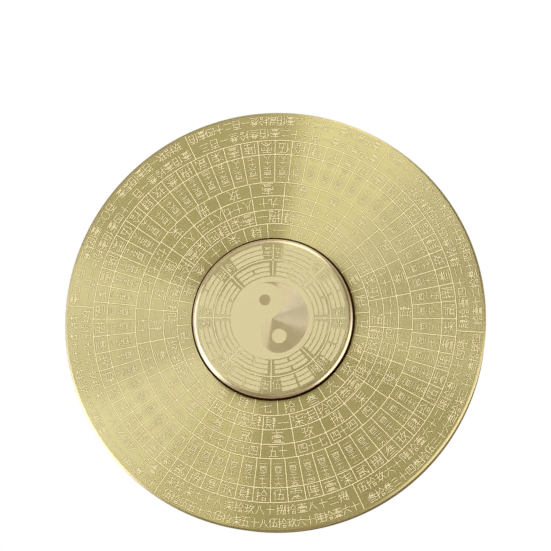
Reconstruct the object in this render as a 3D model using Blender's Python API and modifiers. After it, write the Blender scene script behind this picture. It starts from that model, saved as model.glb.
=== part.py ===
# Bagua compass: a heavy turned brass disc with a raised dial that spins on a hidden ball bearing.
# The frame has +Z up, +Y towards the top of the face, and the origin at the centre of the underside.
# Every length is in metres.

import math

import bmesh
import bpy

# The outer disc
DISC_RADIUS = 0.0400
DISC_THICKNESS = 0.0090
DISC_CHAMFER = 0.0004

# The raised dial, which turns in a recess of the outer disc
DIAL_RADIUS = 0.0152
DIAL_RISE = 0.0013
DIAL_ROUNDING = 0.0009
DIAL_UNDER_CHAMFER = 0.0002
DIAL_SIDE_GAP = 0.0003
DIAL_FLOOR_GAP = 0.0003
RECESS_DEPTH = 0.0012
RECESS_CHAMFER = 0.00015

# The relief on the dial's face, from its rim inwards
RELIEF_HEIGHT = 0.0001
RELIEF_ROOT = 0.0002
RIM_TO_BARS = 0.0003
OUTER_BAR_HEIGHT = 0.00076
OUTER_BAR_GAP = 0.00016
RING_LINE_SPACE = 0.0008
INNER_BAR_HEIGHT = 0.00072
INNER_BAR_GAP = 0.00018
BARS_TO_BAND = 0.00018
OUTER_BARS_HALF_ANGLE = 13.6
INNER_BARS_HALF_ANGLE = 18.6
BAR_BREAK_WIDTH = 0.0004
BAND_WIDTH = 0.0010
BRIGHT_EYE_RADIUS = 0.00130
DARK_EYE_RADIUS = 0.00105
EYE_SHIFT = 0.00025
FACE_TURN = -22.5

# The ball bearing
BEARING_RADIUS = 0.0080
BEARING_BORE_RADIUS = 0.0040
BEARING_WIDTH = 0.0050
BALL_SHARE = 0.2975
SHOULDER_SHARE = 0.2
BALL_COUNT = 9
BALL_CLEARANCE = 0.00006
SHIELD_THICKNESS = 0.00025
SHIELD_INSET = 0.00020
SHIELD_LAP = 0.0004
SHIELD_RIM_CLEARANCE = 0.00015
CAGE_WALL = 0.0010
CAGE_BELOW_BALL = 0.00018
CAGE_ABOVE_CENTRE = 0.0005

# What holds the bearing, the dial and the cover
SEAT_GAP = 0.00005
LIP_THICKNESS = 0.0006
LIP_REACH = 0.0010
CLAMP_INSET = 0.0002
STEM_SHORTFALL = 0.0003
CIRCLIP_THICKNESS = 0.0010
CIRCLIP_BITE = 0.0004
CIRCLIP_WIDTH = 0.0012
CIRCLIP_HALF_GAP_ANGLE = 17.0
CIRCLIP_EAR_ANGLE = 14.0
CIRCLIP_EAR_DEPTH = 0.0009
CIRCLIP_HOLE_RADIUS = 0.0004
WASHER_THICKNESS = 0.0011
SCREW_RADIUS = 0.00125
SCREW_LENGTH = 0.0058
SCREW_HEAD_RADIUS = 0.00225
SCREW_HEAD_LAND = 0.0001
SCREW_TIP_CHAMFER = 0.0003
SCREW_SOCKET_FLATS = 0.0015
SCREW_SOCKET_DEPTH = 0.0006
TAPPED_HOLE_DEPTH = 0.0060
COVER_RADIUS = 0.0105
COVER_THICKNESS = 0.0006
COVER_INSET = 0.0001
COVER_CHAMFER = 0.00015

# How finely round shapes are divided
DISC_STEPS = 96
DIAL_STEPS = 72
BEARING_STEPS = 48
SCREW_STEPS = 32
BALL_SEGMENTS = 14
BALL_RINGS = 8
ARC_STEPS = 6
BAR_STEPS = 3
EYE_STEPS = 20
CUT_OVERRUN = 0.0010

# Heights worked out from the sizes above
RECESS_FLOOR_Z = DISC_THICKNESS - RECESS_DEPTH
LIP_UNDERSIDE_Z = RECESS_FLOOR_Z - LIP_THICKNESS
BEARING_TOP_Z = LIP_UNDERSIDE_Z - SEAT_GAP
BEARING_BOTTOM_Z = BEARING_TOP_Z - BEARING_WIDTH
BEARING_MIDDLE_Z = BEARING_TOP_Z - BEARING_WIDTH / 2
DIAL_UNDERSIDE_Z = RECESS_FLOOR_Z + DIAL_FLOOR_GAP
DIAL_FACE_Z = DISC_THICKNESS + DIAL_RISE
BOSS_END_Z = BEARING_TOP_Z + SEAT_GAP
STEM_END_Z = BEARING_BOTTOM_Z + STEM_SHORTFALL
CIRCLIP_TOP_Z = BEARING_BOTTOM_Z - SEAT_GAP
WASHER_TOP_Z = BEARING_BOTTOM_Z - SEAT_GAP
WASHER_BOTTOM_Z = WASHER_TOP_Z - WASHER_THICKNESS
COVER_SEAT_Z = COVER_INSET + COVER_THICKNESS + SEAT_GAP

# Radii worked out from the sizes above
RECESS_RADIUS = DIAL_RADIUS + DIAL_SIDE_GAP
BEARING_SEAT_RADIUS = BEARING_RADIUS + SEAT_GAP
LIP_RADIUS = BEARING_RADIUS - LIP_REACH
STEM_RADIUS = BEARING_BORE_RADIUS - SEAT_GAP
PITCH_RADIUS = (BEARING_RADIUS + BEARING_BORE_RADIUS) / 2
BEARING_SECTION = BEARING_RADIUS - BEARING_BORE_RADIUS
BALL_RADIUS = BEARING_SECTION * BALL_SHARE
INNER_RACE_RADIUS = PITCH_RADIUS - BEARING_SECTION * SHOULDER_SHARE
OUTER_RACE_BORE_RADIUS = PITCH_RADIUS + BEARING_SECTION * SHOULDER_SHARE
BOSS_RADIUS = INNER_RACE_RADIUS - CLAMP_INSET
WASHER_RADIUS = INNER_RACE_RADIUS - CLAMP_INSET
GROOVE_RADIUS = BALL_RADIUS + BALL_CLEARANCE
SHIELD_SEAT_RADIUS = OUTER_RACE_BORE_RADIUS + SHIELD_LAP
TAPPED_HOLE_RADIUS = SCREW_RADIUS + SEAT_GAP
OUTER_BARS_RADIUS = DIAL_RADIUS - DIAL_ROUNDING - RIM_TO_BARS
OUTER_BARS_DEPTH = 3 * OUTER_BAR_HEIGHT + 2 * OUTER_BAR_GAP
INNER_BARS_RADIUS = OUTER_BARS_RADIUS - OUTER_BARS_DEPTH - RING_LINE_SPACE
INNER_BARS_DEPTH = 3 * INNER_BAR_HEIGHT + 2 * INNER_BAR_GAP
BAND_RADIUS = INNER_BARS_RADIUS - INNER_BARS_DEPTH - BARS_TO_BAND
TAIJI_RADIUS = BAND_RADIUS - BAND_WIDTH

BRASS = (0.72, 0.62, 0.34)
STEEL = (0.62, 0.62, 0.63)
NYLON = (0.80, 0.76, 0.66)

# The lines of each trigram from the centre outwards, where 1 is a whole line and 0 a broken one
HEAVEN, LAKE, FIRE, THUNDER = (1, 1, 1), (1, 1, 0), (1, 0, 1), (1, 0, 0)
WIND, WATER, MOUNTAIN, EARTH = (0, 1, 1), (0, 1, 0), (0, 0, 1), (0, 0, 0)
OUTER_TRIGRAMS = (HEAVEN, WIND, WATER, MOUNTAIN, EARTH, THUNDER, FIRE, LAKE)
INNER_TRIGRAMS = (FIRE, EARTH, LAKE, HEAVEN, WATER, MOUNTAIN, THUNDER, WIND)


def clear_scene():
    for item in list(bpy.data.objects):
        bpy.data.objects.remove(item, do_unlink=True)


def new_collection(name):
    made = bpy.data.collections.new(name)
    bpy.context.scene.collection.children.link(made)
    return made


def new_material(name, colour, roughness, metallic):
    made = bpy.data.materials.new(name)
    made.use_nodes = True
    shader = made.node_tree.nodes["Principled BSDF"]
    shader.inputs["Base Color"].default_value = (*colour, 1.0)
    shader.inputs["Roughness"].default_value = roughness
    shader.inputs["Metallic"].default_value = metallic
    return made


def new_object(name, mesh, collection, material=None):
    made = bpy.data.objects.new(name, mesh)
    collection.objects.link(made)
    if material is not None:
        made.data.materials.append(material)
    return made


def shade_round(mesh):
    mesh.shade_smooth()
    mesh.set_sharp_from_angle(angle=math.radians(30))


def arc(radius, first, last, steps, centre=(0.0, 0.0)):
    """Points on an arc in the plane, from one angle in degrees to another."""
    angles = [math.radians(first + (last - first) * i / steps) for i in range(steps + 1)]
    return [(centre[0] + radius * math.cos(a), centre[1] + radius * math.sin(a)) for a in angles]


def circle(radius, steps, centre=(0.0, 0.0)):
    return arc(radius, 0, 360, steps, centre)[:-1]


def turned(name, profile, steps, collection, material=None, closed=True):
    """A solid of revolution about Z. The profile is (radius, height) and runs down its outer side."""
    mesh = bpy.data.meshes.new(name)
    count = len(profile)
    edges = [(i, i + 1) for i in range(count - 1)]
    if closed:
        edges.append((count - 1, 0))
    mesh.from_pydata([(radius, 0, height) for radius, height in profile], edges, [])
    made = new_object(name, mesh, collection, material)
    spin = made.modifiers.new("Turn", "SCREW")
    spin.steps = steps
    spin.render_steps = steps
    spin.use_merge_vertices = True
    spin.merge_threshold = SEAT_GAP / 10
    return made


def flat_plate(name, outlines, bottom, top, collection):
    """A flat plate between two heights. The first outline is its edge, and the others are holes."""
    curve = bpy.data.curves.new(name, "CURVE")
    curve.dimensions = "2D"
    curve.fill_mode = "BOTH"
    curve.extrude = (top - bottom) / 2
    for outline in outlines:
        spline = curve.splines.new("POLY")
        spline.points.add(len(outline) - 1)
        for point, (x, y) in zip(spline.points, outline):
            point.co = (x, y, 0, 1)
        spline.use_cyclic_u = True
    drawn = new_object(name + "_outline", curve, collection)
    drawn.location.z = (top + bottom) / 2
    bpy.context.view_layer.update()
    evaluated = drawn.evaluated_get(bpy.context.evaluated_depsgraph_get())
    mesh = bpy.data.meshes.new_from_object(evaluated)
    mesh.transform(drawn.matrix_world)
    bpy.data.objects.remove(drawn, do_unlink=True)
    shape = bmesh.new()
    shape.from_mesh(mesh)
    bmesh.ops.remove_doubles(shape, verts=shape.verts, dist=SEAT_GAP / 10)
    bmesh.ops.recalc_face_normals(shape, faces=shape.faces)
    shape.to_mesh(mesh)
    shape.free()
    return new_object(name, mesh, collection)


def joined(name, pieces, collection):
    """One object holding copies of separate, non-overlapping pieces."""
    shape = bmesh.new()
    for piece in pieces:
        shape.from_mesh(piece.data)
        bpy.data.objects.remove(piece, do_unlink=True)
    mesh = bpy.data.meshes.new(name)
    shape.to_mesh(mesh)
    shape.free()
    return new_object(name, mesh, collection)


def combine(target, cutter, operation):
    """Cuts or adds another object, which is kept as a guide that isn't rendered."""
    cutter.hide_render = True
    cutter.display_type = "WIRE"
    change = target.modifiers.new(operation.title(), "BOOLEAN")
    change.operation = operation
    change.solver = "EXACT"
    change.object = cutter


def make_outer_disc(parts, brass):
    top, edge = DISC_THICKNESS, DISC_RADIUS
    groove_top = CIRCLIP_TOP_Z + SEAT_GAP
    groove_bottom = CIRCLIP_TOP_Z - CIRCLIP_THICKNESS - SEAT_GAP
    groove_radius = BEARING_SEAT_RADIUS + CIRCLIP_BITE
    cover_seat_radius = COVER_RADIUS + SEAT_GAP
    profile = [
        (RECESS_RADIUS + RECESS_CHAMFER, top),
        (edge - DISC_CHAMFER, top),
        (edge, top - DISC_CHAMFER),
        (edge, DISC_CHAMFER),
        (edge - DISC_CHAMFER, 0),
        (cover_seat_radius, 0),
        (cover_seat_radius, COVER_SEAT_Z),
        (BEARING_SEAT_RADIUS, COVER_SEAT_Z),
        (BEARING_SEAT_RADIUS, groove_bottom),
        (groove_radius, groove_bottom),
        (groove_radius, groove_top),
        (BEARING_SEAT_RADIUS, groove_top),
        (BEARING_SEAT_RADIUS, LIP_UNDERSIDE_Z),
        (LIP_RADIUS, LIP_UNDERSIDE_Z),
        (LIP_RADIUS, RECESS_FLOOR_Z),
        (RECESS_RADIUS, RECESS_FLOOR_Z),
        (RECESS_RADIUS, top - RECESS_CHAMFER),
    ]
    return turned("outer_disc", profile, DISC_STEPS, parts, brass)


def trigram_bars(trigrams, outer_radius, bar_height, bar_gap, half_angle, guides):
    """The bars of eight trigrams round a ring. Angles run clockwise from the top of the face."""
    bars = []
    for place, lines in enumerate(trigrams):
        middle = 90 - FACE_TURN - place * 360 / len(trigrams)
        for line, whole in enumerate(lines):
            far = outer_radius - (len(lines) - 1 - line) * (bar_height + bar_gap)
            near = far - bar_height
            half_break = math.degrees(BAR_BREAK_WIDTH / 2 / far)
            spans = [(-half_angle, half_angle)]
            if not whole:
                spans = [(-half_angle, -half_break), (half_break, half_angle)]
            for first, last in spans:
                outline = arc(far, middle + first, middle + last, BAR_STEPS)
                outline += arc(near, middle + last, middle + first, BAR_STEPS)
                bars.append(relief_pad([outline], guides))
    return bars


def relief_pad(outlines, guides):
    bottom = DIAL_FACE_Z - RELIEF_ROOT
    return flat_plate("pad", outlines, bottom, DIAL_FACE_Z + RELIEF_HEIGHT, guides)


def taiji_pads(guides):
    """The bright half with the band round it, and the bright eye in the dark half."""
    axis = 90 - FACE_TURN
    turn = math.radians(axis)
    reach = TAIJI_RADIUS / 2
    head = (reach * math.cos(turn), reach * math.sin(turn))
    tail = (-head[0], -head[1])
    dark_half = arc(TAIJI_RADIUS, axis, axis - 180, 6 * ARC_STEPS)
    dark_half += arc(reach, axis - 180, axis - 360, 3 * ARC_STEPS, tail)[1:]
    dark_half += arc(reach, axis - 180, axis, 3 * ARC_STEPS, head)[1:-1]
    scale = (reach + EYE_SHIFT) / reach
    dark_eye = circle(DARK_EYE_RADIUS, EYE_STEPS, (head[0] * scale, head[1] * scale))
    bright_eye = circle(BRIGHT_EYE_RADIUS, EYE_STEPS, (tail[0] * scale, tail[1] * scale))
    band = circle(BAND_RADIUS, DIAL_STEPS)
    return [relief_pad([band, dark_half, dark_eye], guides), relief_pad([bright_eye], guides)]


def make_dial(parts, guides, brass):
    face, edge = DIAL_FACE_Z, DIAL_RADIUS
    crown = (edge - DIAL_ROUNDING, face - DIAL_ROUNDING)
    hole_end = STEM_END_Z + TAPPED_HOLE_DEPTH
    profile = [
        (0, face),
        *arc(DIAL_ROUNDING, 90, 0, ARC_STEPS, crown),
        (edge, DIAL_UNDERSIDE_Z + DIAL_UNDER_CHAMFER),
        (edge - DIAL_UNDER_CHAMFER, DIAL_UNDERSIDE_Z),
        (BOSS_RADIUS, DIAL_UNDERSIDE_Z),
        (BOSS_RADIUS, BOSS_END_Z),
        (STEM_RADIUS, BOSS_END_Z),
        (STEM_RADIUS, STEM_END_Z),
        (TAPPED_HOLE_RADIUS, STEM_END_Z),
        (TAPPED_HOLE_RADIUS, hole_end),
        (0, hole_end),
    ]
    dial = turned("bagua_dial", profile, DIAL_STEPS, parts, brass, closed=False)
    outer = (OUTER_TRIGRAMS, OUTER_BARS_RADIUS, OUTER_BAR_HEIGHT, OUTER_BAR_GAP, OUTER_BARS_HALF_ANGLE)
    inner = (INNER_TRIGRAMS, INNER_BARS_RADIUS, INNER_BAR_HEIGHT, INNER_BAR_GAP, INNER_BARS_HALF_ANGLE)
    pads = trigram_bars(*outer, guides) + trigram_bars(*inner, guides) + taiji_pads(guides)
    flatten = dial.modifiers.new("Flatten", "DECIMATE")
    flatten.decimate_type = "DISSOLVE"
    flatten.angle_limit = math.radians(0.2)
    combine(dial, joined("dial_relief", pads, guides), "UNION")
    weld = dial.modifiers.new("Weld", "WELD")
    weld.merge_threshold = SEAT_GAP / 10
    return dial


def groove_half_angle(shoulder_offset):
    """How far the groove's arc runs either side of its deepest point, in degrees."""
    return math.degrees(math.acos(shoulder_offset / GROOVE_RADIUS))


def make_races(parts, steel):
    top, bottom, middle = BEARING_TOP_Z, BEARING_BOTTOM_Z, BEARING_MIDDLE_Z
    centre = (PITCH_RADIUS, middle)
    spread = groove_half_angle(PITCH_RADIUS - INNER_RACE_RADIUS)
    inner = [(BEARING_BORE_RADIUS, top), (INNER_RACE_RADIUS, top)]
    inner += arc(GROOVE_RADIUS, 180 - spread, 180 + spread, ARC_STEPS, centre)
    inner += [(INNER_RACE_RADIUS, bottom), (BEARING_BORE_RADIUS, bottom)]
    spread = groove_half_angle(OUTER_RACE_BORE_RADIUS - PITCH_RADIUS)
    rebate = SHIELD_INSET + SHIELD_THICKNESS + SEAT_GAP
    outer = [
        (SHIELD_SEAT_RADIUS, top),
        (BEARING_RADIUS, top),
        (BEARING_RADIUS, bottom),
        (SHIELD_SEAT_RADIUS, bottom),
        (SHIELD_SEAT_RADIUS, bottom + rebate),
        (OUTER_RACE_BORE_RADIUS, bottom + rebate),
    ]
    outer += arc(GROOVE_RADIUS, -spread, spread, ARC_STEPS, centre)
    outer += [(OUTER_RACE_BORE_RADIUS, top - rebate), (SHIELD_SEAT_RADIUS, top - rebate)]
    turned("bearing_inner_race", inner, BEARING_STEPS, parts, steel)
    turned("bearing_outer_race", outer, BEARING_STEPS, parts, steel)


def make_shield(name, top, parts, steel):
    bottom = top - SHIELD_THICKNESS
    near = INNER_RACE_RADIUS + SHIELD_RIM_CLEARANCE
    far = SHIELD_SEAT_RADIUS - SEAT_GAP
    profile = [(near, top), (far, top), (far, bottom), (near, bottom)]
    turned(name, profile, BEARING_STEPS, parts, steel)


def ball_places():
    angles = [2 * math.pi * i / BALL_COUNT for i in range(BALL_COUNT)]
    return [(PITCH_RADIUS * math.cos(a), PITCH_RADIUS * math.sin(a), BEARING_MIDDLE_Z) for a in angles]


def ball_mesh(name, radius):
    shape = bmesh.new()
    bmesh.ops.create_uvsphere(shape, u_segments=BALL_SEGMENTS, v_segments=BALL_RINGS, radius=radius)
    mesh = bpy.data.meshes.new(name)
    shape.to_mesh(mesh)
    shape.free()
    return mesh


def make_balls(parts, steel):
    mesh = ball_mesh("bearing_ball", BALL_RADIUS)
    mesh.materials.append(steel)
    shade_round(mesh)
    for number, place in enumerate(ball_places(), start=1):
        ball = new_object("bearing_ball_%d" % number, mesh, parts)
        ball.location = place


def make_cage(parts, guides, nylon):
    """A one-piece crown cage: a ring under the balls whose pockets snap round them."""
    near, far = PITCH_RADIUS - CAGE_WALL / 2, PITCH_RADIUS + CAGE_WALL / 2
    bottom = BEARING_MIDDLE_Z - GROOVE_RADIUS - CAGE_BELOW_BALL
    top = BEARING_MIDDLE_Z + CAGE_ABOVE_CENTRE
    profile = [(near, top), (far, top), (far, bottom), (near, bottom)]
    cage = turned("bearing_cage", profile, BEARING_STEPS, parts, nylon)
    pockets = []
    for place in ball_places():
        pocket = new_object("pocket", ball_mesh("pocket", GROOVE_RADIUS), guides)
        pocket.data.transform(pocket.matrix_world.Translation(place))
        pockets.append(pocket)
    combine(cage, joined("cage_pockets", pockets, guides), "DIFFERENCE")


def make_circlip(parts, steel):
    """An internal circlip whose two ears have holes for the pliers."""
    far = BEARING_SEAT_RADIUS + CIRCLIP_BITE - SEAT_GAP
    near, ear = far - CIRCLIP_WIDTH, far - CIRCLIP_WIDTH - CIRCLIP_EAR_DEPTH
    start, end = CIRCLIP_HALF_GAP_ANGLE, 360 - CIRCLIP_HALF_GAP_ANGLE
    outline = arc(far, start, end, 8 * ARC_STEPS)
    outline += arc(ear, end, end - CIRCLIP_EAR_ANGLE, 2)
    outline += arc(near, end - CIRCLIP_EAR_ANGLE, start + CIRCLIP_EAR_ANGLE, 7 * ARC_STEPS)
    outline += arc(ear, start + CIRCLIP_EAR_ANGLE, start, 2)
    outlines = [outline]
    for angle in (start + CIRCLIP_EAR_ANGLE / 2, end - CIRCLIP_EAR_ANGLE / 2):
        centre = arc((near + ear) / 2, angle, angle, 1)[0]
        outlines.append(circle(CIRCLIP_HOLE_RADIUS, 2 * ARC_STEPS, centre))
    clip = flat_plate("circlip", outlines, CIRCLIP_TOP_Z - CIRCLIP_THICKNESS, CIRCLIP_TOP_Z, parts)
    clip.data.materials.append(steel)


def make_washer(parts, steel):
    """The countersunk washer that clamps the inner race against the dial's boss."""
    top, bottom = WASHER_TOP_Z, WASHER_BOTTOM_Z
    hole, mouth = TAPPED_HOLE_RADIUS, SCREW_HEAD_RADIUS + SEAT_GAP
    cone = mouth - hole
    profile = [
        (hole, top),
        (WASHER_RADIUS, top),
        (WASHER_RADIUS, bottom),
        (mouth, bottom),
        (mouth, bottom + SCREW_HEAD_LAND),
        (hole, bottom + SCREW_HEAD_LAND + cone),
    ]
    turned("clamp_washer", profile, BEARING_STEPS, parts, steel)


def make_screw(parts, guides, steel):
    """The countersunk socket screw, which goes up into the dial's stem."""
    bottom = WASHER_BOTTOM_Z
    top = bottom + SCREW_LENGTH
    cone_top = bottom + SCREW_HEAD_LAND + SCREW_HEAD_RADIUS - SCREW_RADIUS
    profile = [
        (0, top),
        (SCREW_RADIUS - SCREW_TIP_CHAMFER, top),
        (SCREW_RADIUS, top - SCREW_TIP_CHAMFER),
        (SCREW_RADIUS, cone_top),
        (SCREW_HEAD_RADIUS, bottom + SCREW_HEAD_LAND),
        (SCREW_HEAD_RADIUS, bottom),
        (0, bottom),
    ]
    screw = turned("clamp_screw", profile, SCREW_STEPS, parts, steel, closed=False)
    corner = SCREW_SOCKET_FLATS / 2 / math.cos(math.pi / 6)
    socket = [circle(corner, 6)]
    socket_top = bottom + SCREW_SOCKET_DEPTH
    combine(screw, flat_plate("screw_socket", socket, bottom - CUT_OVERRUN, socket_top, guides), "DIFFERENCE")


def make_cover(parts, brass):
    """The brass plate pressed into the underside, which closes the mechanism."""
    bottom, top = COVER_INSET, COVER_INSET + COVER_THICKNESS
    profile = [
        (0, top),
        (COVER_RADIUS, top),
        (COVER_RADIUS, bottom + COVER_CHAMFER),
        (COVER_RADIUS - COVER_CHAMFER, bottom),
        (0, bottom),
    ]
    turned("back_cover", profile, DIAL_STEPS, parts, brass, closed=False)


def main():
    clear_scene()
    parts = new_collection("bagua_compass")
    guides = new_collection("guides")
    brass = new_material("turned_brass", BRASS, 0.32, 1.0)
    steel = new_material("bearing_steel", STEEL, 0.25, 1.0)
    nylon = new_material("cage_nylon", NYLON, 0.55, 0.0)
    make_outer_disc(parts, brass)
    make_dial(parts, guides, brass)
    make_races(parts, steel)
    shield_top = BEARING_TOP_Z - SHIELD_INSET
    make_shield("bearing_shield_upper", shield_top, parts, steel)
    make_shield("bearing_shield_lower", BEARING_BOTTOM_Z + SHIELD_INSET + SHIELD_THICKNESS, parts, steel)
    make_balls(parts, steel)
    make_cage(parts, guides, nylon)
    make_circlip(parts, steel)
    make_washer(parts, steel)
    make_screw(parts, guides, steel)
    make_cover(parts, brass)


main()
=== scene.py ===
# %% [markdown]
# A brass bagua compass, dressed for its portrait
#
# The object is a thick, finely turned brass disc, 80 mm across, with a raised dial that spins
# on a ball bearing hidden inside it. Rings of small frosted marks cover the disc, and the dial
# carries two rings of trigrams round a two-lobed figure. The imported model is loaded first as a
# fixed frame: it gives every piece its true size and place, and the pieces made here are laid
# on it. All lengths are in metres, angles on the face run clockwise from its top (+Y), and +Z
# is up through the dial's axis.

import math

import bmesh
import bpy
from mathutils import Matrix, Vector


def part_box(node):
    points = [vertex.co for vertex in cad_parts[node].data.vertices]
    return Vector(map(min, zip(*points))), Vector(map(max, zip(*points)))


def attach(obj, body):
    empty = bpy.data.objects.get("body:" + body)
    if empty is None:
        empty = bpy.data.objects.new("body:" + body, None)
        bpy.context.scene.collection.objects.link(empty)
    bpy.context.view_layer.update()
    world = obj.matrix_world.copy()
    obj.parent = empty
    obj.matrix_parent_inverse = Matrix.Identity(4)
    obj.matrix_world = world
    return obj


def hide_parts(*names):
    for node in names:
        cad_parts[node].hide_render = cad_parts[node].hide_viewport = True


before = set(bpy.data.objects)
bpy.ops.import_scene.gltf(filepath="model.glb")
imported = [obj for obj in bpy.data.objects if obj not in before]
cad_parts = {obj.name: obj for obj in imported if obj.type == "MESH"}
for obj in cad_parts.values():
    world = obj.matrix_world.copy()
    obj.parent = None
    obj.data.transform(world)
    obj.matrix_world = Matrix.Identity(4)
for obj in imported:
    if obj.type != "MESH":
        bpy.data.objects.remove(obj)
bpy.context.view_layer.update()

MM = 0.001
DISC_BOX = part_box("outer_disc")
DIAL_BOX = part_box("bagua_dial")
COVER_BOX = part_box("back_cover")
RACE_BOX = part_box("bearing_outer_race")
INNER_RACE_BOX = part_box("bearing_inner_race")
CLIP_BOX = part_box("circlip")

DISC_RADIUS = DISC_BOX[1][0]
FACE_Z = DISC_BOX[1][2]
DIAL_RADIUS = DIAL_BOX[1][0]
RELIEF_HEIGHT = 0.1 * MM
DIAL_Z = DIAL_BOX[1][2] - RELIEF_HEIGHT
print("disc radius %.2f mm, face at %.2f mm" % (DISC_RADIUS / MM, FACE_Z / MM))
print("dial radius %.2f mm, face at %.2f mm" % (DIAL_RADIUS / MM, DIAL_Z / MM))

# %% [markdown]
# Brass, turned, polished and frosted
#
# The same brass shows three finishes. The faces were turned on a lathe, so the cutter left
# thousands of tiny circular grooves. They spread a reflection across the grooves and keep it
# narrow along them, which is why a turned face shows bright fans that stand still while the
# disc turns. The Principled BSDF makes that with its Anisotropic value and a radial Tangent.
# The rim and the edges were polished, and the marks were blasted through a mask, which leaves
# a pale, frosted skin with no direction. An image could be painted for each, but nodes keep
# the right scale on every piece. What several finishes share is built once, as node groups.
# Darker brass is laid on as painted shade on the side wall, in the recess round the dial and in
# a border round each mark.


# %% Node helpers
def socket_of(sockets, key):
    """A socket by its number, or by its name among those that the node's settings use."""
    if isinstance(key, int):
        return sockets[key]
    return next(socket for socket in sockets if socket.name == key and socket.enabled)


def add_node(tree, kind, inputs=None, **settings):
    """A node with its settings, and its inputs set to values or joined to other sockets."""
    node = tree.nodes.new(kind)
    for key, value in settings.items():
        setattr(node, key, value)
    for key, value in (inputs or {}).items():
        socket = socket_of(node.inputs, key)
        if isinstance(value, bpy.types.NodeSocket):
            tree.links.new(value, socket)
        else:
            socket.default_value = value
    return node


def output_of(tree, kind, inputs=None, output=0, **settings):
    """One output of a new node."""
    return socket_of(add_node(tree, kind, inputs, **settings).outputs, output)


def calc(tree, operation, *values):
    """The result of a Math node."""
    return output_of(tree, "ShaderNodeMath", dict(enumerate(values)), operation=operation)


def new_group(name, tree_kind, inputs, outputs):
    """A node group. Each socket's value is its kind, or a number, which is its default."""
    tree = bpy.data.node_groups.new(name, tree_kind)
    for in_out, sockets in (("INPUT", inputs), ("OUTPUT", outputs)):
        for socket_name, value in sockets.items():
            kind = value if isinstance(value, str) else "Float"
            socket = tree.interface.new_socket(
                socket_name, in_out=in_out, socket_type="NodeSocket" + kind)
            if value != kind:
                socket.default_value = value
    nodes = tree.nodes
    return tree, nodes.new("NodeGroupInput").outputs, nodes.new("NodeGroupOutput").inputs


# %% What the groups of all finishes share
NOISE_LOW, NOISE_MIDDLE, NOISE_HIGH = 0.3, 0.5, 0.7


def new_skin(name, numbers):
    """A finish's group, which puts out a colour, a roughness and a normal."""
    inputs = {"Colour": "Color", "Shade": 0.06, "Roughness": 0.4, **numbers}
    outputs = {"Base Color": "Color", "Roughness": "Float", "Normal": "Vector"}
    return new_group(name, "ShaderNodeTree", inputs, outputs)


def end_skin(group, given, result, tone, pattern, depth):
    """Ends a group: one noise shades the colour, another varies roughness and height."""
    darkest = calc(group, "SUBTRACT", 1.0, given["Shade"])
    shade = output_of(
        group, "ShaderNodeMapRange",
        {"Value": tone, "From Min": NOISE_LOW, "From Max": NOISE_HIGH,
         "To Min": darkest, "To Max": 1.0})
    colour = output_of(
        group, "ShaderNodeVectorMath", {0: given["Colour"], "Scale": shade},
        operation="SCALE")
    centred = calc(group, "SUBTRACT", pattern, NOISE_MIDDLE)
    rough = calc(
        group, "MULTIPLY_ADD", centred, given["Roughness Spread"], given["Roughness"])
    bump = output_of(
        group, "ShaderNodeBump", {"Height": pattern, "Strength": 1.0, "Distance": depth})
    for name, value in (("Base Color", colour), ("Roughness", rough), ("Normal", bump)):
        group.links.new(value, result[name])
    print(group.name, len(group.nodes), "nodes")
    return group


# %% The grooves of a turned face, as a group
GROOVE_DETAIL = 3.0
BAND_SCALE = 0.06
BAND_DETAIL = 2.0


def make_groove_group():
    """Concentric grooves about Z, with wider bands of shade."""
    group, given, result = new_skin("Turned grooves", {
        "Roughness Spread": 0.08, "Groove Pitch": 0.12 * MM, "Groove Depth": 0.001 * MM})
    where = output_of(group, "ShaderNodeTexCoord", output="Object")
    flat = output_of(
        group, "ShaderNodeVectorMath", {0: where, 1: (1, 1, 0)}, operation="MULTIPLY")
    radius = output_of(
        group, "ShaderNodeVectorMath", {0: flat}, "Value", operation="LENGTH")
    count = calc(group, "DIVIDE", radius, given["Groove Pitch"])
    grooves, bands = [
        output_of(
            group, "ShaderNodeTexNoise", {"W": count, "Scale": scale, "Detail": detail},
            noise_dimensions="1D")
        for scale, detail in ((1.0, GROOVE_DETAIL), (BAND_SCALE, BAND_DETAIL))]
    return end_skin(group, given, result, bands, grooves, given["Groove Depth"])


GROOVES = make_groove_group()

# %% A grainy skin, as a group
GRAIN_DETAIL = 2.0


def make_grain_group():
    """An even grain without direction, for blasted, ground and moulded skins."""
    group, given, result = new_skin("Fine grain", {
        "Roughness Spread": 0.1, "Grain Size": 0.08 * MM, "Grain Depth": 0.004 * MM})
    where = output_of(group, "ShaderNodeTexCoord", output="Object")
    scale = calc(group, "DIVIDE", 1.0, given["Grain Size"])
    grain = output_of(
        group, "ShaderNodeTexNoise",
        {"Vector": where, "Scale": scale, "Detail": GRAIN_DETAIL})
    return end_skin(group, given, result, grain, grain, given["Grain Depth"])


GRAIN = make_grain_group()

# %% How a finish is made
ACROSS_THE_GROOVES = 0.25


def new_material(name, colour, roughness, metallic):
    """A material with its Principled BSDF's own values set, and nothing linked yet."""
    material = bpy.data.materials.new(name)
    material.use_nodes = True
    shader = material.node_tree.nodes["Principled BSDF"]
    shader.inputs["Base Color"].default_value = (*colour, 1.0)
    shader.inputs["Roughness"].default_value = roughness
    shader.inputs["Metallic"].default_value = metallic
    return material, material.node_tree, shader


def skinned(name, group, colour, roughness, metallic, sizes):
    """A material that takes its colour, roughness and normal from a group."""
    material, tree, shader = new_material(name, colour, roughness, metallic)
    skin = add_node(
        tree, "ShaderNodeGroup",
        {"Colour": (*colour, 1.0), "Roughness": roughness, **sizes}, node_tree=group)
    for output in skin.outputs:
        tree.links.new(output, shader.inputs[output.name])
    return material, tree, shader


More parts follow.
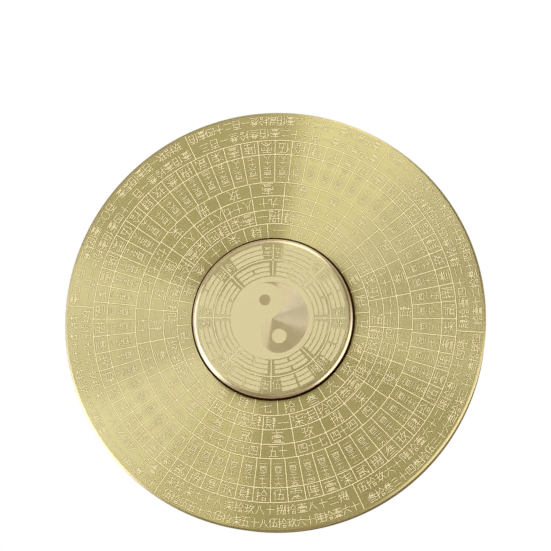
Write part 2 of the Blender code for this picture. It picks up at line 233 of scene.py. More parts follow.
def turned_finish(name, colour, roughness, anisotropy, pitch):
    """Metal from the lathe, which spreads its reflections across the grooves."""
    material, tree, shader = skinned(
        name, GROOVES, colour, roughness, 1.0, {"Groove Pitch": pitch * MM})
    tangent = output_of(tree, "ShaderNodeTangent", direction_type="RADIAL", axis="Z")
    tree.links.new(tangent, shader.inputs["Tangent"])
    shader.inputs["Anisotropic"].default_value = anisotropy
    shader.inputs["Anisotropic Rotation"].default_value = ACROSS_THE_GROOVES
    return material


def grained_finish(name, colour, roughness, metallic, size, depth):
    """A skin that reflects alike in all directions."""
    sizes = {"Grain Size": size * MM, "Grain Depth": depth * MM}
    return skinned(name, GRAIN, colour, roughness, metallic, sizes)[0]


# %% The finishes
# The side wall's brass is darkened as painted shade, down to its specular tint.
PAINTED_SHADE_WALL_COLOUR = (0.26, 0.21, 0.085)

# Each turned finish's colour, roughness, anisotropy, and groove pitch in mm
TURNED_FINISHES = {
    "turned_brass": ((0.725, 0.675, 0.325), 0.35, 1.0, 0.12),
    "turned_dial_brass": ((0.75, 0.70, 0.39), 0.33, 1.0, 0.10),
    "figure_brass": ((0.81, 0.725, 0.475), 0.33, 1.0, 0.10),
    # Painted shade: darker turned brass for the border round each mark, bar and line.
    "painted_edge_shade_brass": ((0.40, 0.36, 0.16), 0.35, 1.0, 0.12),
    "side_wall_brass": (PAINTED_SHADE_WALL_COLOUR, 0.55, 0.5, 0.15),
    "ground_steel": ((0.62, 0.62, 0.63), 0.25, 0.4, 0.08),
}
# Each grained finish's colour, roughness, metallic, and grain size and depth in mm
GRAINED_FINISHES = {
    "edge_brass": ((0.58, 0.50, 0.27), 0.36, 1.0, 0.3, 0.0004),
    "rim_brass": ((0.72, 0.60, 0.42), 0.32, 1.0, 0.3, 0.0004),
    "frosted_brass": ((0.73, 0.67, 0.39), 0.65, 0.35, 0.05, 0.002),
    "engraved_brass": ((1.0, 0.905, 0.535), 0.65, 0.15, 0.05, 0.002),
    "dial_line_brass": ((0.87, 0.795, 0.46), 0.65, 0.25, 0.05, 0.002),
    # Painted shade: dark brass for the recess round the dial and the dial's nose down in it.
    "oxidised_brass": ((0.16, 0.08, 0.02), 0.5, 1.0, 0.2, 0.002),
    "ball_chrome": ((0.75, 0.75, 0.76), 0.06, 1.0, 0.2, 0.0001),
    "cage_nylon": ((0.80, 0.76, 0.66), 0.55, 0.0, 0.12, 0.004),
    "zinc_plate": ((0.55, 0.56, 0.58), 0.32, 1.0, 0.25, 0.001),
}
FINISH = {name: turned_finish(name, *recipe) for name, recipe in TURNED_FINISHES.items()}
FINISH |= {name: grained_finish(name, *recipe) for name, recipe in GRAINED_FINISHES.items()}
shade_wall_shader = FINISH["side_wall_brass"].node_tree.nodes["Principled BSDF"]
shade_wall_shader.inputs["Specular Tint"].default_value = (*PAINTED_SHADE_WALL_COLOUR, 1.0)
print(len(FINISH), "finishes")

# %% [markdown]
# The two turned bodies
#
# The disc and the dial are solids of revolution, as they were on the lathe. A profile is drawn
# as (radius, height) points and spun about Z with the bmesh spin operator. The doubles at the
# seam and at the axis are merged, and the normals are recalculated after that, because a spin
# can come out inside out. The frame's own solids have 96 sides, which would show as flats on a
# polished edge, so finer copies stand in for them here. The disc's edge is a shallow bevel
# with a tight rounding, which draws a bright line round it, and the dial's rim is a cone
# between two roundings. A support loop inside the rim keeps the flat face flat when it is
# shaded smooth.

# %% Turning a profile
TURN_STEPS = 288
ROUND_STEPS = 12
MERGE = 0.0001 * MM
SMOOTH_ANGLE = math.radians(20)
SUPPORT = 0.02 * MM


def link(obj):
    bpy.context.scene.collection.objects.link(obj)
    return obj


def arc(radius, first, last, centre=(0, 0), steps=ROUND_STEPS):
    """Points on an arc, between two angles in degrees against the clock."""
    angles = [math.radians(first + (last - first) * i / steps) for i in range(steps + 1)]
    return [
        (centre[0] + radius * math.cos(a), centre[1] + radius * math.sin(a)) for a in angles]


def turned(name, profile, finishes, finish_of, closed=True):
    """A solid of revolution. finish_of(radius, height) names each face's finish."""
    shape = bmesh.new()
    points = [shape.verts.new((radius, 0, height)) for radius, height in profile]
    pairs = list(zip(points, points[1:]))
    if closed:
        pairs.append((points[-1], points[0]))
    edges = [shape.edges.new(pair) for pair in pairs]
    bmesh.ops.spin(
        shape, geom=points + edges, cent=(0, 0, 0), axis=(0, 0, 1),
        angle=2 * math.pi, steps=TURN_STEPS, use_merge=True)
    bmesh.ops.remove_doubles(shape, verts=shape.verts, dist=MERGE)
    bmesh.ops.recalc_face_normals(shape, faces=shape.faces)
    for face in shape.faces:
        middle = face.calc_center_median()
        finish = finish_of(math.hypot(middle.x, middle.y), middle.z)
        face.material_index = finishes.index(finish)
    mesh = bpy.data.meshes.new(name)
    for finish in finishes:
        mesh.materials.append(FINISH[finish])
    shape.to_mesh(mesh)
    shape.free()
    mesh.shade_smooth()
    mesh.set_sharp_from_angle(angle=SMOOTH_ANGLE)
    print(name + ":", len(mesh.polygons), "faces")
    return link(bpy.data.objects.new(name, mesh))


# %% The outer disc
EDGE_BEVEL = 0.4 * MM
EDGE_BEVEL_TILT = 30
EDGE_ROUNDING = 0.08 * MM
EDGE_CHAMFER = 0.4 * MM
RECESS_GAP = 0.3 * MM
RECESS_DEPTH = 1.2 * MM
RECESS_CHAMFER = 0.06 * MM
LIP_REACH = 1.0 * MM
SEAT_GAP = 0.05 * MM
RECESS_RADIUS = DIAL_RADIUS + RECESS_GAP
RECESS_FLOOR_Z = FACE_Z - RECESS_DEPTH
RECESS_MOUTH = RECESS_RADIUS + RECESS_CHAMFER
BEARING_SEAT_RADIUS = RACE_BOX[1][0] + SEAT_GAP
BEARING_TOP_Z = RACE_BOX[1][2] + SEAT_GAP
LIP_RADIUS = RACE_BOX[1][0] - LIP_REACH
COVER_SEAT_RADIUS = COVER_BOX[1][0] + SEAT_GAP
COVER_SEAT_Z = COVER_BOX[1][2] + SEAT_GAP
CLIP_GROOVE_RADIUS = -CLIP_BOX[0][0] + SEAT_GAP
CLIP_GROOVE_Z = (CLIP_BOX[0][2] - SEAT_GAP, CLIP_BOX[1][2] + SEAT_GAP)


def make_disc():
    edge, top = DISC_RADIUS, FACE_Z
    tilt = math.radians(EDGE_BEVEL_TILT)
    bevel_end = edge - EDGE_ROUNDING * (1 - math.sin(tilt))
    bevel_drop = (bevel_end - (edge - EDGE_BEVEL)) * math.tan(tilt)
    round_z = top - bevel_drop - EDGE_ROUNDING * math.cos(tilt)
    profile = [
        (RECESS_MOUTH, top),
        (edge - EDGE_BEVEL, top),
        *arc(EDGE_ROUNDING, 90 - EDGE_BEVEL_TILT, 0, (edge - EDGE_ROUNDING, round_z)),
        (edge, EDGE_CHAMFER),
        (edge - EDGE_CHAMFER, 0),
        (COVER_SEAT_RADIUS, 0),
        (COVER_SEAT_RADIUS, COVER_SEAT_Z),
        (BEARING_SEAT_RADIUS, COVER_SEAT_Z),
        (BEARING_SEAT_RADIUS, CLIP_GROOVE_Z[0]),
        (CLIP_GROOVE_RADIUS, CLIP_GROOVE_Z[0]),
        (CLIP_GROOVE_RADIUS, CLIP_GROOVE_Z[1]),
        (BEARING_SEAT_RADIUS, CLIP_GROOVE_Z[1]),
        (BEARING_SEAT_RADIUS, BEARING_TOP_Z),
        (LIP_RADIUS, BEARING_TOP_Z),
        (LIP_RADIUS, RECESS_FLOOR_Z),
        (RECESS_RADIUS, RECESS_FLOOR_Z),
        (RECESS_RADIUS, top - RECESS_CHAMFER),
    ]

    def finish_of(radius, height):
        # Everything inside the recess mouth is dark brass: painted shade in the gap round the
        # dial.
        if radius < RECESS_MOUTH:
            return "oxidised_brass"
        if height > top - MERGE or height < MERGE:
            return "turned_brass"
        # The side wall gets the dark brass of painted shade.
        on_wall = radius > edge - SUPPORT and height < round_z
        return "side_wall_brass" if on_wall else "edge_brass"

    finishes = ["turned_brass", "side_wall_brass", "oxidised_brass", "edge_brass"]
    disc = turned("disc_body", profile, finishes, finish_of)
    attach(disc, "case")
    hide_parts("outer_disc")


make_disc()

# %% The dial
RIM_REACH = 0.9 * MM
RIM_ROUNDING = 0.9 * MM
RIM_TILT = 42
NOSE_ROUNDING = 0.22 * MM
SHOULDER_TILT = 18
UNDER_CHAMFER = 0.2 * MM
DIAL_FLOOR_GAP = 0.3 * MM
CLAMP_INSET = 0.2 * MM
HOLE_RADIUS = 1.3 * MM
HOLE_DEPTH = 6.0 * MM


def make_dial():
    edge, top, stem_end = DIAL_RADIUS, DIAL_Z, DIAL_BOX[0][2]
    under = RECESS_FLOOR_Z + DIAL_FLOOR_GAP
    boss = INNER_RACE_BOX[1][0] - CLAMP_INSET
    stem = RACE_BOX[1][0] / 2 - SEAT_GAP
    tilt = math.radians(RIM_TILT)
    run = RIM_REACH - RIM_ROUNDING * math.sin(tilt) - NOSE_ROUNDING * (1 - math.sin(tilt))
    cone_z = top - RIM_ROUNDING * (1 - math.cos(tilt)) - run * math.tan(tilt)
    nose_z = cone_z - NOSE_ROUNDING * math.cos(tilt)
    shoulder_z = top - RIM_ROUNDING * (1 - math.cos(math.radians(SHOULDER_TILT)))
    profile = [
        (0, top),
        (edge - RIM_REACH - SUPPORT, top),
        *arc(RIM_ROUNDING, 90, 90 - RIM_TILT, (edge - RIM_REACH, top - RIM_ROUNDING)),
        *arc(NOSE_ROUNDING, 90 - RIM_TILT, 0, (edge - NOSE_ROUNDING, nose_z)),
        (edge, under + UNDER_CHAMFER),
        (edge - UNDER_CHAMFER, under),
        (boss, under),
        (boss, BEARING_TOP_Z),
        (stem, BEARING_TOP_Z),
        (stem, stem_end),
        (HOLE_RADIUS, stem_end),
        (HOLE_RADIUS, stem_end + HOLE_DEPTH),
        (0, stem_end + HOLE_DEPTH),
    ]
    # Down in the recess the dial's nose is dark brass, and its underside the dark wall brass:
    # both painted shade.
    lowest_of = {
        "turned_dial_brass": shoulder_z, "rim_brass": cone_z,
        "oxidised_brass": under + UNDER_CHAMFER, "side_wall_brass": -math.inf}

    def finish_of(radius, height):
        return next(finish for finish, lowest in lowest_of.items() if height > lowest)

    dial = turned("dial_body", profile, list(lowest_of), finish_of, closed=False)
    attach(dial, "dial")
    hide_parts("bagua_dial")


make_dial()

# %% [markdown]
# Strokes for the marks
#
# The rings of marks are plain counting numbers, written two ways: in short numerals and in the
# longer ones used on cheques. A font would bring curves with thousands of points at this size,
# so each numeral is a few straight strokes on a grid of ten by ten, written here as pairs of
# grid digits: "04 94" runs from (0, 4) to (9, 4), and a slash starts a new stroke. The strokes
# become edges only. Geometry Nodes place them and give every one the same width, the way a
# cutter of one size would.

# %% The numerals
PLAIN = {
    0: "39 69 96 93 60 30 03 06 39",
    1: "04 94",
    2: "17 87 / 01 91",
    3: "18 88 / 25 75 / 01 91",
    4: "08 01 / 08 98 91 / 01 91 / 38 35 24 / 58 54 84",
    5: "09 99 / 49 20 / 15 75 70 / 00 90",
    6: "59 47 / 06 96 / 34 00 / 54 90",
    7: "05 97 / 49 41 91 93",
    8: "38 35 00 / 58 55 90",
    9: "49 45 00 / 06 66 61 91 93",
    10: "05 95 / 49 40",
    100: "09 99 / 59 47 / 17 10 80 87 17 / 14 84",
}
FORMAL = {
    0: "19 89 / 07 05 / 07 97 95 / 49 45 / 25 35 / 65 75 / 43 00 / 53 90 / 22 72 / 41 60",
    1: "08 98 / 49 46 / 26 76 / 03 05 95 93 / 24 74 / 22 72 71 21 / 00 90",
    2: "06 66 / 18 58 / 79 63 90 93 / 88 97 / 14 11 51 54 14 / 13 53 / 21 00 / 41 60",
    3: "49 27 77 / 69 78 / 06 96 / 46 03 / 56 93 / 34 74 / 22 72 / 00 90",
    4: "19 14 / 19 49 / 17 47 / 15 45 / 03 53 / 23 00 / 32 50 / 68 88 84 64 / 56 96 / 62 92"
       " / 79 70",
    5: "29 06 / 17 10 / 39 99 / 69 41 / 45 85 81 / 31 91",
    6: "09 00 / 09 39 26 35 33 13 / 48 98 / 69 66 / 46 96 / 43 93 / 65 44 / 75 94 / 64 60"
       " / 40 90",
    7: "08 17 / 05 15 / 27 98 / 49 45 95 96 / 23 93 / 54 50 / 53 10 / 53 90",
    8: "06 36 / 19 10 00 / 03 34 / 49 69 66 46 49 / 44 74 70 60 / 55 41 / 87 83 / 99 90 80",
    9: "08 38 / 05 35 / 01 42 / 28 22 / 69 45 / 67 97 75 40 / 65 90",
    10: "06 36 / 19 10 00 / 03 34 / 69 45 / 69 95 / 54 84 / 52 82 80 50 52",
    100: "29 06 / 17 10 / 39 99 / 69 57 / 47 40 90 97 47 / 44 94",
}
NUMERALS = {("plain", key): text for key, text in PLAIN.items()}
NUMERALS |= {("formal", key): text for key, text in FORMAL.items()}
GRID = 9


def strokes_of(text):
    """The straight pieces of a numeral, as pairs of points on a unit square."""
    pieces = []
    for stroke in text.split("/"):
        points = [(int(pair[0]) / GRID, int(pair[1]) / GRID) for pair in stroke.split()]
        pieces += zip(points, points[1:])
    return pieces


def count_word(number, words):
    """The numerals that write a number below a thousand."""
    hundreds, rest = divmod(number, 100)
    tens, ones = divmod(rest, 10)
    keys = [hundreds, 100] if hundreds else []
    if hundreds and ones and not tens:
        keys.append(0)
    if tens:
        keys += [tens, 10] if tens > 1 or hundreds else [10]
    if ones:
        keys.append(ones)
    return [(words, key) for key in keys]


print(len(NUMERALS), "numerals")

# %% [markdown]
# Geometry Nodes that cut the marks
#
# Everything on the two faces is a stroke of constant width: numerals, ring lines, the lines
# between cells and the bars of the trigrams. One group, "Cut strokes", turns any set of edges
# into such strokes: the edges become curves, and each is swept with a rectangle, once for the
# mark and once, wider and lower, in darker brass: a border of painted shade along the edge of
# the cut. A random lift of a few thousandths of a millimetre keeps crossing strokes from lying
# in one plane. The other trees decide where the edges go: numerals on points round a ring,
# circles of given radii, and spokes. Curves bevelled one by one would do the same with far more
# objects.

# %% Geometry node helpers
STROKE_SPREAD = 0.004 * MM
STROKE_SEED = 7
CIRCLE_STEPS = 256
BORDER_HEIGHT_SHARE = 0.4
STROKE_SOCKETS = {
    "Width": "Float", "Height": "Float", "Border": "Float", "Material": "Material",
    "Border Material": "Material"}


def new_tree(name, sockets):
    """A tree with these inputs and those of a stroke. Geometry goes in and out."""
    inputs = {"Geometry": "Geometry", **sockets, **STROKE_SOCKETS}
    tree, given, result = new_group(
        name, "GeometryNodeTree", inputs, {"Geometry": "Geometry"})
    tree.is_modifier = True
    return tree, given, result[0]


def attribute(tree, name, kind):
    """The values of a named attribute that the points carry."""
    return output_of(
        tree, "GeometryNodeInputNamedAttribute", {"Name": name}, "Attribute", data_type=kind)


def along_z(tree, value):
    """A vector that is zero but for its Z."""
    return output_of(tree, "ShaderNodeCombineXYZ", {"Z": value})


# %% The group that cuts strokes
def swept_strokes(tree, curves, width, height, material):
    """Sweeps a rectangle along the curves, without smoothing, in one material."""
    profile = output_of(
        tree, "GeometryNodeCurvePrimitiveQuadrilateral", {"Width": width, "Height": height})
    swept = output_of(
        tree, "GeometryNodeCurveToMesh",
        {"Curve": curves, "Profile Curve": profile, "Fill Caps": True})
    flat = output_of(
        tree, "GeometryNodeSetShadeSmooth", {0: swept, "Shade Smooth": False})
    return output_of(
        tree, "GeometryNodeSetMaterial", {"Geometry": flat, "Material": material})


def make_cut_strokes():
    """Strokes on the edges of a mesh, each on a wider and lower border of painted shade."""
    tree, given, result = new_tree("Cut strokes", {})
    curves = output_of(tree, "GeometryNodeMeshToCurve", {"Mesh": given["Geometry"]})
    upright = output_of(
        tree, "GeometryNodeSetCurveNormal", {"Curve": curves}, mode="Z_UP")
    owner = output_of(tree, "GeometryNodeCurveOfPoint", output="Curve Index")
    lift = output_of(
        tree, "FunctionNodeRandomValue",
        {"Min": 0.0, "Max": STROKE_SPREAD, "ID": owner, "Seed": STROKE_SEED}, "Value",
        data_type="FLOAT")
    lifted = output_of(
        tree, "GeometryNodeSetPosition",
        {"Geometry": upright, "Offset": along_z(tree, lift)})
    border_width = calc(tree, "MULTIPLY_ADD", given["Border"], 2.0, given["Width"])
    border_height = calc(tree, "MULTIPLY", given["Height"], BORDER_HEIGHT_SHARE)
    border = swept_strokes(
        tree, lifted, border_width, border_height, given["Border Material"])
    stroke = swept_strokes(tree, lifted, given["Width"], given["Height"], given["Material"])
    both = add_node(tree, "GeometryNodeJoinGeometry")
    for part in (border, stroke):
        tree.links.new(part, both.inputs[0])
    tree.links.new(both.outputs[0], result)
    return tree


CUT_STROKES = make_cut_strokes()


def cut_and_end(tree, edges, given, result):
    """Ends a tree: its instances are realized and its edges become strokes."""
    real = output_of(tree, "GeometryNodeRealizeInstances", {"Geometry": edges})
    values = {name: given[name] for name in STROKE_SOCKETS}
    cut = output_of(
        tree, "GeometryNodeGroup", {"Geometry": real, **values}, node_tree=CUT_STROKES)
    tree.links.new(cut, result)
    print(tree.name, len(tree.nodes), "nodes")
    return tree


# %% The trees that place strokes
def make_numeral_ring():
    """Numerals on points. A point says which numeral it takes, its turn and its size."""
    tree, given, result = new_tree("Numerals on points", {"Numerals": "Collection"})
    library = output_of(
        tree, "GeometryNodeCollectionInfo",
        {"Collection": given["Numerals"], "Separate Children": True, "Reset Children": True})
    placed = output_of(
        tree, "GeometryNodeInstanceOnPoints",
        {"Points": given["Geometry"], "Instance": library, "Pick Instance": True,
         "Instance Index": attribute(tree, "numeral", "INT"),
         "Rotation": along_z(tree, attribute(tree, "turn", "FLOAT")),
         "Scale": attribute(tree, "size", "FLOAT_VECTOR")})
    return cut_and_end(tree, placed, given, result)


def make_ring_lines():
    """A circle for each point, with the radius that the point carries."""
    tree, given, result = new_tree("Ring lines", {})
    circle = output_of(
        tree, "GeometryNodeMeshCircle", {"Vertices": CIRCLE_STEPS, "Radius": 1.0})
    placed = output_of(
        tree, "GeometryNodeInstanceOnPoints",
        {"Points": given["Geometry"], "Instance": circle,
         "Scale": attribute(tree, "size", "FLOAT_VECTOR")})
    return cut_and_end(tree, placed, given, result)


def make_spokes():
    """Evenly spaced radial lines between two radii. Start is the first one's angle."""
    tree, given, result = new_tree("Spokes", {
        "Count": "Int", "Start": "Float", "Inner Radius": "Float", "Outer Radius": "Float",
        "Level": "Float"})
    hub = output_of(
        tree, "GeometryNodeMeshCircle",
        {"Vertices": given["Count"], "Radius": given["Inner Radius"]})
    length = calc(tree, "SUBTRACT", given["Outer Radius"], given["Inner Radius"])
    reach = output_of(tree, "ShaderNodeCombineXYZ", {"X": length})
    spoke = output_of(tree, "GeometryNodeMeshLine", {"Count": 2, "Offset": reach})
    step = calc(tree, "DIVIDE", 2 * math.pi, given["Count"])
    angle = calc(tree, "MULTIPLY", output_of(tree, "GeometryNodeInputIndex"), step)
    placed = output_of(
        tree, "GeometryNodeInstanceOnPoints",
        {"Points": hub, "Instance": spoke, "Rotation": along_z(tree, angle)})
    seated = output_of(
        tree, "GeometryNodeTransform",
        {"Geometry": placed, "Rotation": along_z(tree, given["Start"]),
         "Translation": along_z(tree, given["Level"])})
    return cut_and_end(tree, seated, given, result)


NUMERAL_RING = make_numeral_ring()
RING_LINES = make_ring_lines()
SPOKES = make_spokes()


# %% Growing a piece from a tree
def evaluated_mesh(obj, name):
    """The mesh that an object's modifiers or curves make. The object itself is removed."""
    bpy.context.view_layer.update()
    evaluated = obj.evaluated_get(bpy.context.evaluated_depsgraph_get())
    mesh = bpy.data.meshes.new_from_object(evaluated)
    mesh.name = name
    bpy.data.objects.remove(obj, do_unlink=True)
    return mesh


def add_piece(name, mesh, body):
    """A finished piece at the origin, which moves with its body."""
    piece = link(bpy.data.objects.new(name, mesh))
    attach(piece, body)
    print(name + ":", len(mesh.polygons), "faces")


def grow(name, tree, source, values, body):
    """Runs a tree on a mesh and keeps the result as a plain mesh."""
    grower = link(bpy.data.objects.new(name + "_source", source))
    modifier = grower.modifiers.new("Grow", "NODES")
    modifier.node_group = tree
    for item in tree.interface.items_tree:
        if item.in_out == "INPUT" and item.name in values:
            modifier[item.identifier] = values[item.name]
    add_piece(name, evaluated_mesh(grower, name), body)


def points_mesh(name, points):
    """A mesh of loose points. Each point is (place, numeral, turn, size)."""
    mesh = bpy.data.meshes.new(name)
    mesh.from_pydata([point[0] for point in points], [], [])
    for key, kind, column in (("numeral", "INT", 1), ("turn", "FLOAT", 2)):
        made = mesh.attributes.new(key, kind, "POINT")
        made.data.foreach_set("value", [point[column] for point in points])
    sizes = mesh.attributes.new("size", "FLOAT_VECTOR", "POINT")
    sizes.data.foreach_set("vector", [value for point in points for value in point[3]])
    return mesh


def face_place(azimuth, radius, height):
    """The point at an angle in degrees clockwise from the top of the face."""
    turn = math.radians(azimuth)
    return Vector((radius * math.sin(turn), radius * math.cos(turn), height))


# %% The library of numerals
STROKE_END = 0.04
NUMERAL_MIDDLE = 0.5


def numeral_mesh(name, text):
    """A numeral's strokes as loose edges about its middle, each run on a little."""
    points, edges = [], []
    for (ax, ay), (bx, by) in strokes_of(text):
        length = math.hypot(bx - ax, by - ay)
        over_x, over_y = STROKE_END * (bx - ax) / length, STROKE_END * (by - ay) / length
        edges.append((len(points), len(points) + 1))
        points += [
            (ax - over_x - NUMERAL_MIDDLE, ay - over_y - NUMERAL_MIDDLE, 0),
            (bx + over_x - NUMERAL_MIDDLE, by + over_y - NUMERAL_MIDDLE, 0)]
    mesh = bpy.data.meshes.new(name)
    mesh.from_pydata(points, edges, [])
    return mesh


def make_library():
    library = bpy.data.collections.new("numerals")
    for number, text in enumerate(NUMERALS.values()):
        name = "numeral_%02d" % number
        library.objects.link(bpy.data.objects.new(name, numeral_mesh(name, text)))
    return library


LIBRARY = make_library()

# %% [markdown]
# The rings of the outer disc
#
# Seven rings of cells surround the dial, and two rows of running marks go round the edge in
# six sectors. The marks' feet point outwards and they read against the clock, so the disc is
# turned in the hand to read it. Each ring here is a short recipe: its radius, the size of its
# marks, and which numbers it shows. The tree does the placing.

# %% Radii and counts of the disc's rings
MARK_RISE = 0.02 * MM
LINE_WIDTH = 0.17 * MM
STROKE_WIDTH = 0.125 * MM
FINE_STROKE_WIDTH = 0.10 * MM
BORDER_WIDTH = 0.08 * MM
# Each mark stands on a wider, lower border of darker brass: painted shade along the edge of the
# cut.
ENGRAVED = {
    "Material": FINISH["engraved_brass"], "Border": BORDER_WIDTH,
    "Border Material": FINISH["painted_edge_shade_brass"]}
SECTORS = 6
SECTOR_START = 34.1
R_EDGE = DISC_RADIUS - EDGE_BEVEL
R_64_OUT = 34.53 * MM
R_64_MID = 31.81 * MM
R_24_OUT = 26.36 * MM
R_24_MID = 23.71 * MM
R_24_IN = 20.98 * MM
R_PAIRS_IN = 18.30 * MM

# How many cells a ring has, and the angle at which its first cell starts
CELLS_64 = dict(cells=64, start=SECTOR_START)
CELLS_24 = dict(cells=24, start=34.8)
INNER_CELLS = dict(cells=24, start=41.4)


def mark(azimuth, radius, size, numeral, level=FACE_Z):
    """One numeral, with its top towards the centre of the face."""
    turn = math.pi - math.radians(azimuth)
    spot = face_place(azimuth, radius, level)
    return spot, list(NUMERALS).index(numeral), turn, (*size, 1.0)


def cell_azimuth(cell, cells, start):
    return start + (cell + 0.5) * 360 / cells


def cell_marks(cell, ring, radius, size, numerals, pitch=0):
    """Numerals side by side in a cell, read against the clock."""
    step = math.degrees(pitch / radius)
    first = cell_azimuth(cell, **ring) + step * (len(numerals) - 1) / 2
    return [
        mark(first - step * place, radius, size, numeral)
        for place, numeral in enumerate(numerals)]


def ring_marks(ring, radius, size, numerals_of, pitch=0):
    """The marks of a whole ring. numerals_of(cell) gives each cell its numerals."""
    marks = []
    for cell in range(ring["cells"]):
        marks += cell_marks(cell, ring, radius, size, numerals_of(cell), pitch)
    return marks


def add_marks(name, marks, stroke_width=STROKE_WIDTH, body="case"):
    values = {
        "Numerals": LIBRARY, "Width": stroke_width, "Height": 2 * MARK_RISE, **ENGRAVED}
    grow(name, NUMERAL_RING, points_mesh(name, marks), values, body)


# %% Two rows of running marks
# Numerals in a sector, the radius of their middle, their size, the degrees left bare at the
# sector's start and end, and the first number
ROWS = {
    "edge_row_marks": dict(
        count=22, radius=38.35 * MM, size=(1.50 * MM, 1.60 * MM), margins=(1.9, 3.4), first=11),
    "second_row_marks": dict(
        count=18, radius=35.90 * MM, size=(1.60 * MM, 1.65 * MM), margins=(4.0, 2.2), first=41),
}


def running_numerals(first):
    """Numerals of one number after another, every second number in the long form."""
    number = first
    while True:
        yield from count_word(number, "formal" if number % 2 else "plain")
        number += 1


def row_marks(count, radius, size, margins, first):
    """A row of running numerals in each sector, read against the clock."""
    marks = []
    sector = 360 / SECTORS
    pitch = (sector - sum(margins)) / (count - 1)
    for place in range(SECTORS):
        numerals = running_numerals(first + place * count)
        last = SECTOR_START + (place + 1) * sector - margins[1]
        marks += [
            mark(last - step * pitch, radius, size, next(numerals)) for step in range(count)]
    return marks


for name, row in ROWS.items():
    add_marks(name, row_marks(**row))

# %% The rings of sixty-four cells
SIXTY_FOUR_SIZE = (1.95 * MM, 1.9 * MM)
STACK_SIZE = (1.35 * MM, 0.80 * MM)
STACK_PITCH = 0.97 * MM
STACK_FOOT = 0.95 * MM
FIRST_STACK_NUMBER = 111
NUMERALS_OF_64 = 11


def jumping(cell, jump, count, shift=0):
    """A number from 1 to count that jumps from cell to cell."""
    return (cell * jump + shift) % count + 1


def numeral_of_64(cell):
    """The long numerals from 0 to 10, in jumps of five."""
    return [("formal", jumping(cell, 5, NUMERALS_OF_64) % NUMERALS_OF_64)]


def stack_marks():
    """Numbers written down the cell, from the centre outwards."""
    return [
        mark(cell_azimuth(cell, **CELLS_64), R_24_OUT + STACK_FOOT + place * STACK_PITCH,
             STACK_SIZE, numeral)
        for cell in range(CELLS_64["cells"])
        for place, numeral in enumerate(count_word(FIRST_STACK_NUMBER + cell, "plain"))]


add_marks("sixty_four_marks", ring_marks(
    CELLS_64, (R_64_OUT + R_64_MID) / 2, SIXTY_FOUR_SIZE, numeral_of_64))
add_marks("stacked_marks", stack_marks(), FINE_STROKE_WIDTH)

# %% The rings of twenty-four cells
SINGLE_SIZE = (2.0 * MM, 2.05 * MM)
TRIPLE_SIZE = (1.55 * MM, 1.8 * MM)
TRIPLE_PITCH = 1.85 * MM
FIRST_TRIPLE_NUMBER = 21
PAIR_SIZE = (1.95 * MM, 2.1 * MM)
PAIR_PITCH = 2.3 * MM
INNER_SIZE = (1.95 * MM, 1.9 * MM)
SINGLES_FIRST_CELL = 18
SINGLES_COUNT = 12


def single_and_triple_marks():
    """Two rings: half way round, the single marks change places with the triple ones."""
    marks = []
    outer, inner = (R_24_OUT + R_24_MID) / 2, (R_24_MID + R_24_IN) / 2
    for cell in range(CELLS_24["cells"]):
        single = [("formal", jumping(cell % SINGLES_COUNT, 1, 9))]
        # Every third number, past the round tens, which have two numerals only
        number = FIRST_TRIPLE_NUMBER + 3 * cell + (3 * cell + 1) // 10
        triple = count_word(number, "plain")
        is_outer = (cell - SINGLES_FIRST_CELL) % CELLS_24["cells"] < SINGLES_COUNT
        single_radius, triple_radius = (outer, inner) if is_outer else (inner, outer)
        marks += cell_marks(cell, CELLS_24, single_radius, SINGLE_SIZE, single)
        marks += cell_marks(
            cell, CELLS_24, triple_radius, TRIPLE_SIZE, triple, TRIPLE_PITCH)
    return marks


def pair_of(cell):
    second = "plain" if cell % 2 else "formal"
    return [("formal", jumping(cell, 7, 10)), (second, jumping(cell, 3, 9))]


def inner_numeral(cell):
    return [("formal" if cell % 3 else "plain", jumping(cell, 7, 10, 3))]


add_marks("single_and_triple_marks", single_and_triple_marks())
add_marks("paired_marks", ring_marks(
    CELLS_24, (R_24_IN + R_PAIRS_IN) / 2, PAIR_SIZE, pair_of, PAIR_PITCH))
add_marks("inner_marks", ring_marks(
    INNER_CELLS, (R_PAIRS_IN + RECESS_MOUTH) / 2, INNER_SIZE, inner_numeral))

# %% Ring lines and the lines between cells
BAR_RISE = 0.05 * MM
DIAL_LINE_WIDTH = 0.20 * MM
DIAL_BORDER_WIDTH = 0.03 * MM
LINE_LEVEL = {"case": FACE_Z, "dial": DIAL_Z}
# Lines on both faces stand on a border of painted shade.
LINE_VALUES = {
    "case": {**ENGRAVED, "Width": LINE_WIDTH, "Height": 2 * MARK_RISE},
    "dial": {
        **ENGRAVED, "Width": DIAL_LINE_WIDTH, "Height": 2 * BAR_RISE,
        "Material": FINISH["dial_line_brass"], "Border": DIAL_BORDER_WIDTH}}


def add_ring_lines(name, radii, body="case"):
    points = [((0, 0, LINE_LEVEL[body]), 0, 0.0, (radius, radius, 1.0)) for radius in radii]
    grow(name, RING_LINES, points_mesh(name, points), LINE_VALUES[body], body)


def add_spokes(name, count, azimuth, inner, outer, body="case"):
    values = {
        "Count": count, "Start": math.radians(90 - azimuth), "Inner Radius": inner,
        "Outer Radius": outer, "Level": LINE_LEVEL[body], **LINE_VALUES[body]}
    grow(name, SPOKES, bpy.data.meshes.new(name), values, body)


add_ring_lines(
    "disc_ring_lines", (R_64_OUT, R_64_MID, R_24_OUT, R_24_MID, R_24_IN, R_PAIRS_IN))
add_spokes("sector_lines", SECTORS, SECTOR_START, R_64_OUT, R_EDGE)
add_spokes("sixty_four_lines", *CELLS_64.values(), R_24_OUT, R_64_OUT)
add_spokes("twenty_four_lines", *CELLS_24.values(), R_PAIRS_IN, R_24_OUT)
add_spokes("inner_lines", *INNER_CELLS.values(), RECESS_MOUTH, R_PAIRS_IN)
